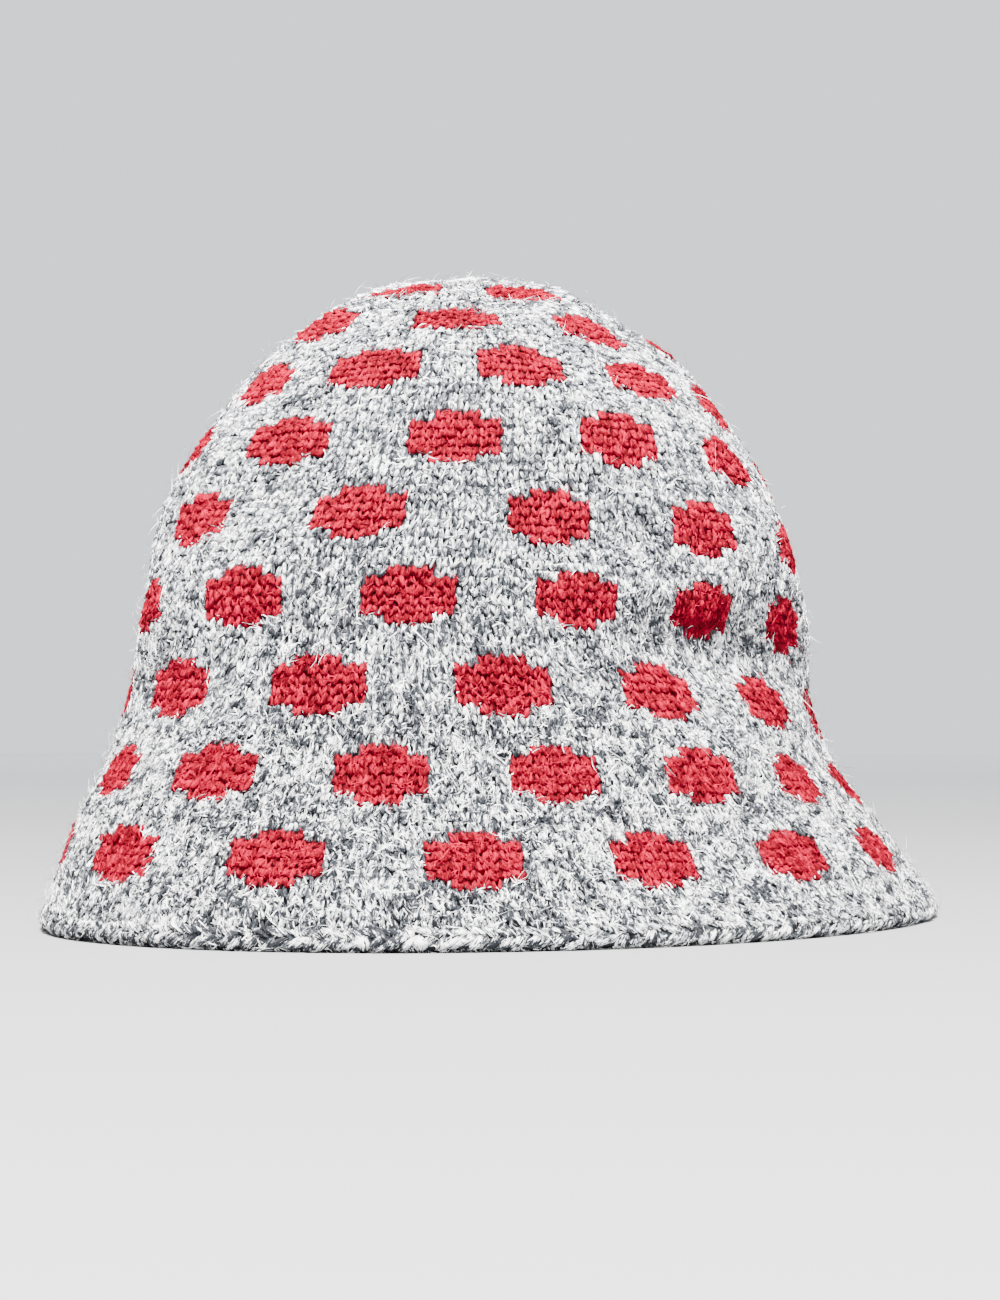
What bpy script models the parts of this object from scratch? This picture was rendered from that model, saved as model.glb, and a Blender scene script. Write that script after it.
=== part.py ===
# A knitted bucket hat standing on its rim: the hollow knitted body, crown and brim in one,
# the rolled edge worked onto its last course, and the sewn ridge of the seam inside its back.
# Metres, +Z up. The front faces -Y and the wearer's left is +X.
import math

import bmesh
import bpy
import numpy as np
from mathutils import Vector

# Outside sizes of the body
BAND_LENGTH = 0.212  # front to back where the crown meets the brim
BAND_WIDTH = 0.167  # side to side there
RIM_LENGTH = 0.277  # front to back round the rim
RIM_WIDTH = 0.219
CROWN_RISE = 0.115  # from the band up to the apex
BRIM_DROP = 0.059  # from the band down to the surface that the hat stands on
CROWN_LEAN = 0.0115  # how far the band sits forward of the rim's middle
BAND_FALL = 0.0095  # how much lower the band's front lies than its back
FOLD_DEPTH = 0.0030  # of a fold whose share is 1

# Knitted wall, rolled edge and seam ridge
WALL = 0.0035
GAP = 0.0003  # between pieces that touch
EDGE_HEIGHT = 0.0055
EDGE_WIDTH = 0.0062
EDGE_FOOT = 0.0030  # width of the flat that the edge stands on, and of its seat
SEAM_WIDTH = 0.0040
SEAM_HEIGHT = 0.0020
SEAM_TOP = 0.16  # share of the way from the apex to the rim where the ridge starts

# Fineness of the faceted solids
SEGMENTS = 72
ROWS = 26
SEAM_ROWS = 24
SHORTEST_RING = 0.02  # share of the way down where the small ring round the apex lies

# The crown, a row for each level: its length and width as shares of the band's, its height as
# a share of CROWN_RISE, its shift forward as a share of CROWN_LEAN, and how much lower its
# front lies than its back would on the band's outline, as a share of BAND_FALL.
CROWN_LEVELS = [
    # level, length, width, height, lean, fall
    ("apex", 0.000, 0.000, 1.000, 1.30, 0.0),
    ("top", 0.265, 0.290, 0.964, 1.30, 0.0),
    ("dome", 0.530, 0.570, 0.834, 1.20, 0.2),
    ("shoulder", 0.795, 0.832, 0.588, 1.05, 0.8),
    ("side", 0.945, 0.958, 0.280, 1.00, 0.9),
    ("band", 1.000, 1.000, 0.000, 1.00, 1.2),
]

# The brim, down to its seat on the edge: its outline as a share of the way from the band's to
# the rim's, its height as a share of the way up from that seat, and the same last two columns.
BRIM_LEVELS = [
    # level, outline, height, lean, fall
    ("spread", 0.360, 0.520, 0.95, 1.1),
    ("fall", 0.710, 0.225, 0.60, 0.7),
    ("rim", 1.000, 0.000, 0.00, 0.0),
]

# Dents and swells in the soft wall: where each lies, in turns round from the front towards the
# wearer's left and as a share of the way from the apex to the rim, how far it spreads in the
# same two measures, and how deep it goes as a share of FOLD_DEPTH, a minus sign for a swell.
FOLDS = [
    # fold, turn, down, turn_spread, down_spread, depth
    ("waist_left", 0.24, 0.680, 0.09, 0.045, 0.70),
    ("waist_front_right", -0.05, 0.690, 0.06, 0.040, 0.55),
    ("waist_back", 0.60, 0.700, 0.10, 0.050, 0.30),
    ("swell_left_front", 0.12, 0.590, 0.12, 0.050, -0.40),
    ("swell_left_back", 0.34, 0.570, 0.10, 0.060, -0.25),
    ("swell_right", -0.24, 0.600, 0.12, 0.060, -0.30),
    ("dent_crown_front", 0.02, 0.490, 0.07, 0.035, 0.50),
    ("dent_crown_left", 0.23, 0.470, 0.05, 0.035, 0.40),
    ("swell_brim_front", 0.04, 0.840, 0.09, 0.060, -0.35),
    ("dent_brim_left", 0.20, 0.850, 0.05, 0.070, 0.40),
]

# The edge's cross-section: across the wall as a share of EDGE_WIDTH, outwards, and up as a
# share of EDGE_HEIGHT. Its foot and its seat are flats of their own width.
EDGE_SIDES = [
    # side, across, up
    ("outer_low", 0.44, 0.20),
    ("outer_mid", 0.50, 0.50),
    ("outer_high", 0.42, 0.82),
    ("inner_high", -0.42, 0.82),
    ("inner_mid", -0.50, 0.50),
    ("inner_low", -0.44, 0.20),
]

# Colours of the wool, linear
GREY_WOOL = (0.50, 0.51, 0.52)
SEAM_WOOL = (0.42, 0.42, 0.41)

SEAT_HEIGHT = EDGE_HEIGHT + GAP
FINE_STEPS = 400
WELD = 1e-6


def level_rows():
    """Every level of the body from the apex down: half length, half width, height, lean, slope."""
    band_slope = BAND_FALL / BAND_LENGTH
    band = np.array((BAND_LENGTH, BAND_WIDTH)) / 2
    rim = np.array((RIM_LENGTH, RIM_WIDTH)) / 2 - (EDGE_WIDTH - WALL) / 2
    rows = []
    for _, length, width, height, lean, fall in CROWN_LEVELS:
        half_length, half_width = band * (length, width)
        rise = BRIM_DROP + CROWN_RISE * height
        rows.append((half_length, half_width, rise, -CROWN_LEAN * lean, band_slope * fall))
    for _, outline, height, lean, fall in BRIM_LEVELS:
        half_length, half_width = band + (rim - band) * outline
        rise = SEAT_HEIGHT + (BRIM_DROP - SEAT_HEIGHT) * height
        rows.append((half_length, half_width, rise, -CROWN_LEAN * lean, band_slope * fall))
    return np.array(rows)


def smooth_profile():
    """The level rows as a fine smooth table, with the way down from the apex beside it."""
    rows = level_rows()
    over_the_top = rows[1] * (-1, -1, 1, 1, 1)
    past_the_rim = 2 * rows[-1] - rows[-2]
    knots = np.vstack((over_the_top, rows, past_the_rim))
    steps = np.hypot(np.diff(knots[:, :2].mean(axis=1)), np.diff(knots[:, 2]))
    at = np.concatenate(((0.0,), np.cumsum(steps)))
    spans = np.diff(at)[:, None]
    slopes = np.diff(knots, axis=0) / spans
    tangents = (slopes[:-1] * spans[1:] + slopes[1:] * spans[:-1]) / (spans[:-1] + spans[1:])
    fine = np.linspace(at[1], at[-2], FINE_STEPS)
    span_of = np.clip(np.searchsorted(at[1:-1], fine, side="right") - 1, 0, len(tangents) - 2)
    start = span_of + 1
    width = (at[start + 1] - at[start])[:, None]
    t = ((fine - at[start])[:, None]) / width
    table = (
        (2 * t**3 - 3 * t**2 + 1) * knots[start]
        + (t**3 - 2 * t**2 + t) * width * tangents[start - 1]
        + (3 * t**2 - 2 * t**3) * knots[start + 1]
        + (t**3 - t**2) * width * tangents[start]
    )
    way = np.concatenate(
        ((0.0,), np.cumsum(np.hypot(np.diff(table[:, :2].mean(axis=1)), np.diff(table[:, 2]))))
    )
    return way / way[-1], table


WAY, PROFILE = smooth_profile()


def fold_depth(turn, down):
    """How far the folds push the wall in at a place, in metres."""
    depth = 0.0
    for _, fold_turn, fold_down, turn_spread, down_spread, share in FOLDS:
        off = (turn - fold_turn + 0.5) % 1.0 - 0.5
        near = math.exp(-((off / turn_spread) ** 2) - ((down - fold_down) / down_spread) ** 2)
        depth += share * FOLD_DEPTH * near
    return depth


def outer_point(turn, down):
    """A point of the body's outside: turns from the front, share of the way down."""
    half_length, half_width, height, lean, slope = (
        np.interp(down, WAY, PROFILE[:, column]) for column in range(PROFILE.shape[1])
    )
    angle = 2 * math.pi * turn
    out = Vector((half_width * math.sin(angle), -half_length * math.cos(angle), 0.0))
    inwards = out.normalized() * fold_depth(turn, down) if out.length > WALL else Vector()
    point = out - inwards
    return Vector((point.x, point.y + lean, height + slope * out.y))


def wall_normal(turn, down):
    """The outward direction of the wall at a place."""
    step = 0.004
    low, high = max(down - step, step), min(down + step, 1.0)
    along = outer_point(turn, high) - outer_point(turn, low)
    across = outer_point(turn + step, down) - outer_point(turn - step, down)
    return across.cross(along).normalized() * -1


def wall_point(turn, down, depth):
    """A point inside the wall, that deep under its outside."""
    return outer_point(turn, down) - wall_normal(turn, down) * depth


def down_at_height(turn, height, depth):
    """The share of the way down where a skin of the wall, that deep, comes to a height."""
    low, high = 0.5, 1.0
    while high - low > 1e-6:
        middle = (low + high) / 2
        if wall_point(turn, middle, depth).z > height:
            low = middle
        else:
            high = middle
    return low


def skin_rings(depth):
    """Rings of one skin of the wall, from round the apex down to the seat on the edge."""
    ends = [down_at_height(k / SEGMENTS, SEAT_HEIGHT, depth) for k in range(SEGMENTS)]
    rings = []
    for row in range(ROWS):
        share = row / (ROWS - 1)
        ring = []
        for k in range(SEGMENTS):
            down = SHORTEST_RING + (ends[k] - SHORTEST_RING) * share
            ring.append(wall_point(k / SEGMENTS, down, depth))
        rings.append(ring)
    for point in rings[-1]:
        point.z = SEAT_HEIGHT
    return rings


def edge_rings():
    """Rings of the rolled edge, round its cross-section, centred under the wall's foot."""
    half_foot = EDGE_FOOT / 2
    section = [(half_foot, 0.0)]
    section += [(across * EDGE_WIDTH, up * EDGE_HEIGHT) for _, across, up in EDGE_SIDES[:3]]
    section += [(half_foot, EDGE_HEIGHT), (-half_foot, EDGE_HEIGHT)]
    section += [(across * EDGE_WIDTH, up * EDGE_HEIGHT) for _, across, up in EDGE_SIDES[3:]]
    section.append((-half_foot, 0.0))
    feet = []
    for k in range(SEGMENTS):
        turn = k / SEGMENTS
        outer = wall_point(turn, down_at_height(turn, SEAT_HEIGHT, 0.0), 0.0)
        inner = wall_point(turn, down_at_height(turn, SEAT_HEIGHT, WALL), WALL)
        out = Vector((outer.x - inner.x, outer.y - inner.y, 0.0)).normalized()
        feet.append(((outer + inner) / 2, out))
    rings = []
    for across, up in section:
        ring = []
        for foot, out in feet:
            point = foot + out * across
            ring.append(Vector((point.x, point.y, up)))
        rings.append(ring)
    return rings


def seam_rings():
    """Sections of the seam's ridge, on the inside of the back, from the crown to the edge."""
    turn = 0.5
    half_width = SEAM_WIDTH / 2
    clear = SEAT_HEIGHT + SEAM_HEIGHT
    end = down_at_height(turn, clear, WALL)
    shape = [(-1.0, 0.0), (-0.6, 0.75), (0.0, 1.0), (0.6, 0.75), (1.0, 0.0)]
    rings = []
    for row in range(SEAM_ROWS):
        down = SEAM_TOP + (end - SEAM_TOP) * row / (SEAM_ROWS - 1)
        inwards = -wall_normal(turn, down)
        seat = outer_point(turn, down) + inwards * (WALL + 2 * GAP)
        side = Vector((1.0, 0.0, 0.0))
        rings.append([seat + side * half_width * x + inwards * SEAM_HEIGHT * h for x, h in shape])
    return rings


def loft(name, rings, closed, material, smooth_angle=40):
    """One closed solid through the rings: a flat grid bent round them, and welded or filled."""
    columns = len(rings[0])
    rows = len(rings) if closed else len(rings) - 1
    mesh = bmesh.new()
    bmesh.ops.create_grid(mesh, x_segments=columns, y_segments=rows, size=0.5)
    for vert in mesh.verts:
        column = round((vert.co.x + 0.5) * columns) % columns
        row = round((vert.co.y + 0.5) * rows) % len(rings)
        vert.co = rings[row][column]
    bmesh.ops.remove_doubles(mesh, verts=mesh.verts, dist=WELD)
    open_ends = [edge for edge in mesh.edges if edge.is_boundary]
    if open_ends:
        caps = bmesh.ops.holes_fill(mesh, edges=open_ends, sides=0)["faces"]
        bmesh.ops.poke(mesh, faces=caps)
    bmesh.ops.recalc_face_normals(mesh, faces=mesh.faces)
    data = bpy.data.meshes.new(name)
    mesh.to_mesh(data)
    mesh.free()
    data.shade_smooth()
    data.set_sharp_from_angle(angle=math.radians(smooth_angle))
    data.materials.append(material)
    piece = bpy.data.objects.new(name, data)
    bpy.context.scene.collection.objects.link(piece)
    return piece


def wool(name, colour):
    """A matt woollen material."""
    material = bpy.data.materials.new(name)
    material.use_nodes = True
    shader = material.node_tree.nodes["Principled BSDF"]
    shader.inputs["Base Color"].default_value = (*colour, 1.0)
    shader.inputs["Roughness"].default_value = 0.95
    shader.inputs["Metallic"].default_value = 0.0
    return material


def build_body():
    """Crown and brim in one hollow wall: down the outside, over the foot and up the inside."""
    rings = skin_rings(0.0) + skin_rings(WALL)[::-1]
    return loft("knit_body", rings, False, wool("grey_wool", GREY_WOOL))


def build_edge():
    return loft("rolled_edge", edge_rings(), True, wool("edge_wool", GREY_WOOL), smooth_angle=60)


def build_seam():
    return loft("back_seam", seam_rings(), False, wool("seam_wool", SEAM_WOOL))


def main():
    for old in list(bpy.data.objects):
        bpy.data.objects.remove(old)
    hat = bpy.data.objects.new("bucket_hat", None)
    bpy.context.scene.collection.objects.link(hat)
    for piece in (build_body(), build_edge(), build_seam()):
        piece.parent = hat


main()
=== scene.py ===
"""The looks of a knitted bucket hat: heathered grey wool with red spots, standing on its rim.

Metres, +Z up, the front towards -Y and the wearer's left towards +X. A place on the knitting is
given by its turn round the hat from the front towards the wearer's left, its way up the wall
from the rim, and how far it stands out from the body's outside.
"""
import math

import bmesh
import bpy
import numpy as np
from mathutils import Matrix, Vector
from mathutils.bvhtree import BVHTree


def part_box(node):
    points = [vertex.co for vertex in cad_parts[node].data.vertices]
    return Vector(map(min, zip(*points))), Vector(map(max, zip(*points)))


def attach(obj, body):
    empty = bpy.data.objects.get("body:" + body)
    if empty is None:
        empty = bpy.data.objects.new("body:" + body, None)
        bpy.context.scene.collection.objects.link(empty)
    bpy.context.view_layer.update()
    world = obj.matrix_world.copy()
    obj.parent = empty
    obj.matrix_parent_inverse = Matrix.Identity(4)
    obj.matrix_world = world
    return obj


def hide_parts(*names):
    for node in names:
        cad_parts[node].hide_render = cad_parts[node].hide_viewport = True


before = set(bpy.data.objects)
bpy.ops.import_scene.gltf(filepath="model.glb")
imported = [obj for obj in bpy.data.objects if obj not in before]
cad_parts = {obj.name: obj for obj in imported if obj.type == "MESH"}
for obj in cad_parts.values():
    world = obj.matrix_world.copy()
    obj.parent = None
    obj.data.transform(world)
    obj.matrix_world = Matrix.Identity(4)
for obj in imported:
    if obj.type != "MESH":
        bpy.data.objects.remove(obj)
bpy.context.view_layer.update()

# The knitting's own sizes
COURSE = 0.00245  # height of one course of stitches
FIRST_COURSE_AT = 0.0020  # way up from the rim where course 0 would start
COLOUR_FROM = 0.2  # share of a course up from which the wool has that course's colour
YARN = 0.0019  # thickness of the wool
APEX_STITCH = 0.0031  # width of a stitch in the plain top of the crown
APEX_FEWEST = 6  # stitches in the smallest course there
SPREAD_FROM = 0.150  # way up past which the courses close on the apex at their own rate
SAME_PLACE = 1e-5  # points closer than this are one
SEED = 7

SWELLS = [
    # times_round, length, start, depth: slack swells that run aslant round the hat
    (3, 0.083, 0.2, 0.00070),
    (5, -0.047, 1.3, 0.00055),
    (9, 0.061, 2.9, 0.00030),
    (17, -0.034, 4.4, 0.00016),
]
FOLDS = [
    # turn, way, half_length_in_turns, half_width, depth, slant: soft hollows where the wool sags
    (0.255, 0.080, 0.110, 0.0110, 0.0038, -0.06),
    (0.205, 0.106, 0.080, 0.0095, 0.0030, -0.09),
    (0.290, 0.056, 0.060, 0.0075, 0.0018, -0.04),
    (0.120, 0.128, 0.080, 0.0100, 0.0028, -0.08),
    (0.045, 0.084, 0.080, 0.0105, 0.0028, 0.05),
    (0.620, 0.083, 0.090, 0.0090, 0.0026, 0.05),
    (0.840, 0.100, 0.080, 0.0090, 0.0022, -0.05),
]
RIM_FADE = 0.012  # way above the rim over which swells and folds fade in
APEX_FADE = 0.03  # way below the apex over which they fade out

# Courses from the rim up. Each band of courses holds one row of spots: how many spots go round,
# how many stitches there are from one to the next, and the turn of a spot's middle.
BANDS = [
    # band, first_course, spots, repeat, turn, spotted
    ("hem", 2, 16, 15, 0.000, False),
    ("brim_low", 5, 15, 16, 0.982, True),
    ("brim_high", 14, 15, 15, 0.016, True),
    ("waist", 23, 13, 15, 0.978, True),
    ("band", 32, 13, 15, 0.939, True),
    ("crown_low", 41, 11, 17, 0.974, True),
    ("crown_mid", 50, 11, 15, 0.016, True),
    ("crown_high", 59, 11, 13, 0.964, True),
    ("crown_round", 68, 8, 14, 0.980, True),
    ("crown_top", 77, 6, 13, 0.030, True),
    ("apex", 86, 1, 1, 0.000, False),
]
FIRST_OF = {row[0]: row[1] for row in BANDS}  # the first course of each band
SPOT_STARTS = 1  # courses above the first of its band

# One spot, its last course at the top: a mark for each stitch in red
SPOT_CHART = [
    "..####..",
    "########",
    "########",
    "########",
    "########",
    "..####..",
]

# A leg of a stitch, from its foot at the stitch's middle to its head at the side: shares of a
# stitch across, of a course up, and of the yarn's thickness out
LEG_FOOT = (0.08, -0.42, -0.28)
LEG_MIDDLE = (0.235, 0.32, -0.10)
LEG_HEAD = (0.40, 1.04, -0.55)
LEG_BLUNT = 1.30  # how far its thick part is drawn out towards its ends
LEG_WIDE = 0.26  # half its width, as a share of a stitch
LEG_THICK = 0.48  # half its thickness, as a share of the yarn's
RED_FULLER = 1.14  # how much wider the red legs are, as the strands behind swell the spots
WALE_ROUND = 0.0012  # how far back a column of stitches falls at its sides
LEG_VARIES = (0.12, 0.12, 0.035, 0.09, 0.11, 0.12)  # width, thickness, across, lean, up, out

# Painted light and shade on a leg: how light it is painted, how much lighter on its back and
# half-way along, and how much painted shade darkens it between the columns of stitches, which is
# from a share of a stitch across and over a further share
LEG_LIGHT = 0.32
LEG_LIGHT_BACK = 0.74
LEG_LIGHT_HALF_WAY = 0.34
LEG_PAINTED_SHADE_BETWEEN = 0.80
BETWEEN_FROM = 0.34
BETWEEN_OVER = 0.16

# The purl bumps of the inside: half their length as a share of a stitch, half their height and
# their arch as shares of a course, and how deep and half how thick as shares of the yarn
PURL_HALF_LONG = 0.62
PURL_HALF_TALL = 0.40
PURL_ARCH = 0.16
PURL_SUNK = 0.42
PURL_HALF_THICK = 0.40
PURL_VARIES = (0.04, 0.1, 0.06, 0.08)  # across, height, up, out

# The strands carried across the inside: how thick, how slack, how far those of one spot are drawn
# together half-way along, as a share of the way to its middle course, and how far they droop there
FLOAT_RADIUS = 0.00085
FLOAT_SAG = 0.0008
FLOAT_BUNCH = 0.36
FLOAT_DROOP = 0.15
FLOAT_SUNK = 0.0002  # how far into the inside their ends are
FLOAT_VARIES = (0.1, 0.12, 0.20, 0.3)  # thickness, up, droop, sag

# The rolled edge
EDGE_STRANDS = 300  # twice as many as the lumps of the edge, as two strands lie in each
EDGE_ROWS = [
    # row, starts_at, ends_at, lean: degrees round the edge from outwards towards the top
    ("upper", 118, 8, 0.95),
    ("outer", 34, -62, -0.55),
    ("under", -48, -150, 0.55),
    ("inner", 206, 96, 0.85),
]
EDGE_PAIRED = 0.10  # how far the strands of a lump are drawn together, as a share of their turn
EDGE_LEANS = 1.4  # how far a lean of 1 carries a strand round the hat, in strands each way
EDGE_HALF_WIDE = 0.62  # half a strand's width, as a share of its turn
EDGE_CURL = 10  # degrees that its side is ahead of its middle, at a lean of 1
EDGE_SKIN = 0.92  # where its middle lies, as a share of the edge's half width
EDGE_HALF_THICK = 0.32
EDGE_VARIES = (0.18, 0.20, 8, 0.03, 0.26, 0.35)  # width, turn, degrees, skin, tone, lean
EDGE_LUMPS_VARY = (0.05, 0.06)  # skin, thickness
CORE_SIZE = 0.80  # of the plain core, as a share of the edge

# The overcast stitches of the seam: from one to the next, how long, how far aslant, half how wide
# and half how thick one is, and how far off the wall it is at its ends and more at its middle
SEAM_STITCH = 0.0034
SEAM_LONG = 0.0052
SEAM_ASLANT = 0.0036
SEAM_HALF_WIDE = 0.0011
SEAM_HALF_THICK = 0.0007
SEAM_OFF = 0.0010
SEAM_ARCH = 0.0010
SEAM_ENDS = (0.004, 0.002)  # how far inside the ridge's foot and its top the stitches end
SEAM_VARIES = (0.0002, 0.0, 0.16, 0.0)  # across, nothing, tone, nothing

# The red strand beside the seam: how far up it reaches, as a share of the seam, how thick it is,
# where it lies, and how far and how often it wanders
RED_STRAND_REACHES = 0.62
RED_STRAND_RADIUS = 0.0006
RED_STRAND_BESIDE = (0.0030, 0.0007, 19)
RED_STRAND_OFF = (0.0008, 0.0004, 27)

# Loose fibres: how many, in how many parts, how long, how wide, and how far they lift, as a share
# of their length
LAID_FIBRES = (40000, 2, 0.0025, 0.00028, (0.00, 0.16))
STRAY_FIBRES = (9000, 3, 0.0040, 0.00008, (0.25, 0.90))
FIBRES_BY_COURSE = ((18, 40), (1.0, 0.42))  # courses, and how close the fibres are there
RED_FIBRES = 0.26  # as many on the red, as a share of those on the grey
EDGE_FIBRES = 10  # one on the edge for so many on the grey
EDGE_FIBRES_FROM = -0.0045  # how far below the edge's outermost line they start
EDGE_FIBRES_TO = 0.0050  # and how far above it
FIBRE_BENDS = 1.1  # spread of the angle that a fibre turns through
FIBRE_LENGTHS_VARY = 0.40
FIBRE_CUT = 0.3  # what is left of one that would lie across the other colour
FIBRE_CLEAR = 0.0002  # how far off the wool it starts
FIBRE_SETTLES = 0.5  # share of its lift that it loses by its end

# The wool's pattern. Each noise: scale, detail, roughness
FLECKS = (700.0, 3.0, 0.65)
CLOUDS = (210.0, 2.0, 0.55)
CARDING_SCALE = 1.6
CARDING_ROUGHNESS = 0.7
CARDING = [
    # lean, stretch_along, stretch_across, detail, share: fibres laid along the strand
    (0.30, 0.45, 1.3, 3.0, 0.6),
    (-0.55, 0.55, 1.6, 2.0, 0.4),
]
TONE_SHOWS = 0.40  # how strongly each strand's own tone shows
FLECKS_SHOW = 1.90
CLOUDS_SHOW = 1.60
FIBRES_SHOW = 4.20
HEATHER_MIDDLE = 0.56  # where on the colour stops the wool's middle tone lies
# The painted shade: how fast it darkens the wool as the wool dips
PAINTED_SHADE_CURVE = 0.8  # how fast the wool darkens as it dips
BUMP_DEPTH = 0.0009
FLECKS_BUMP = 0.5  # how much the flecks stand out beside the fibres
PATTERN_REACH = 50  # a strand's pattern starts anywhere within this length of it

# How much of the wool's pattern lies along a strand, and across it
LEG_PATTERN = (2.0, 1.0)
PURL_PATTERN = (1.0, 1.0)
FLOAT_PATTERN = (8.0, 1.0)
EDGE_PATTERN = (3.0, 2.0)
SEAM_PATTERN = (3.0, 0.6)
RED_STRAND_PATTERN = (60.0, 1.0)

# Painted light and shade on a strand: how light it is painted at its sides, and how much lighter on its
# back
PURL_LIGHT = (0.60, 0.40)
FLOAT_LIGHT = (0.45, 0.30)
EDGE_LIGHT = (0.25, 0.75)
SEAM_LIGHT = (0.5, 0.5)

# A strand's own tone, from 0 to 1, and how much it varies where that isn't given above
LEG_TONE = 0.5
LEG_TONE_VARIES = 0.26
PURL_TONE = 0.45
PURL_TONE_VARIES = 0.2
FLOAT_TONE = 0.5
FLOAT_TONE_VARIES = 0.2
EDGE_TONE = 0.52
SEAM_TONE = 0.5
FIBRE_TONE = 0.60
FIBRE_TONE_VARIES = 0.3

# Colours of the wool, linear
GREY_STOPS = [
    (0.0, (0.014, 0.016, 0.020)),
    (0.30, (0.038, 0.042, 0.050)),
    (0.46, (0.095, 0.104, 0.122)),
    (0.60, (0.24, 0.25, 0.27)),
    (0.76, (0.60, 0.605, 0.62)),
    (0.90, (0.97, 0.97, 0.96)),
]
RED_STOPS = [
    (0.0, (0.075, 0.0002, 0.0035)),
    (0.36, (0.135, 0.0002, 0.007)),
    (0.58, (0.19, 0.0003, 0.011)),
    (0.80, (0.235, 0.0004, 0.015)),
    (1.0, (0.28, 0.0008, 0.019)),
]

# The floor: how far it reaches, and its colour at shares of that from the hat, painted darker near
# the hat, where the key lamp is strong, and paler far off, where its light falls off, as painted light
FLOOR_REACH = 6.0
FLOOR_STOPS = [
    (0.06, (0.20, 0.20, 0.203)),
    (0.17, (0.27, 0.27, 0.274)),
    (0.33, (0.44, 0.45, 0.46)),
    (0.67, (0.74, 0.755, 0.78)),
    (0.95, (0.86, 0.88, 0.91)),
]

# The light
ROOM_COLOUR = (0.84, 0.865, 0.90, 1.0)
ROOM_STRENGTH = 1.50
LAMPS_AIM = Vector((0, 0, 0.08))
LAMPS = [
    # name, place, size, power, colour
    ("key", (0.56, -0.74, 1.48), 0.36, 360.0, (1.0, 0.985, 0.965)),
    ("fill", (1.25, -0.35, 0.50), 0.90, 9.0, (0.90, 0.94, 1.0)),
]

# The camera
CAMERA_BEARING = math.radians(39.5)
CAMERA_DISTANCE = 0.776
CAMERA_HEIGHT = 0.050
CAMERA_AIM = Vector((0.0, -0.002, 0.074))
SENSOR_HEIGHT = 36.0
FOCAL_LENGTH = 77.7
NEAREST_SEEN = 0.01

rng = np.random.default_rng(SEED)


# Measuring the body of the hat

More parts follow.
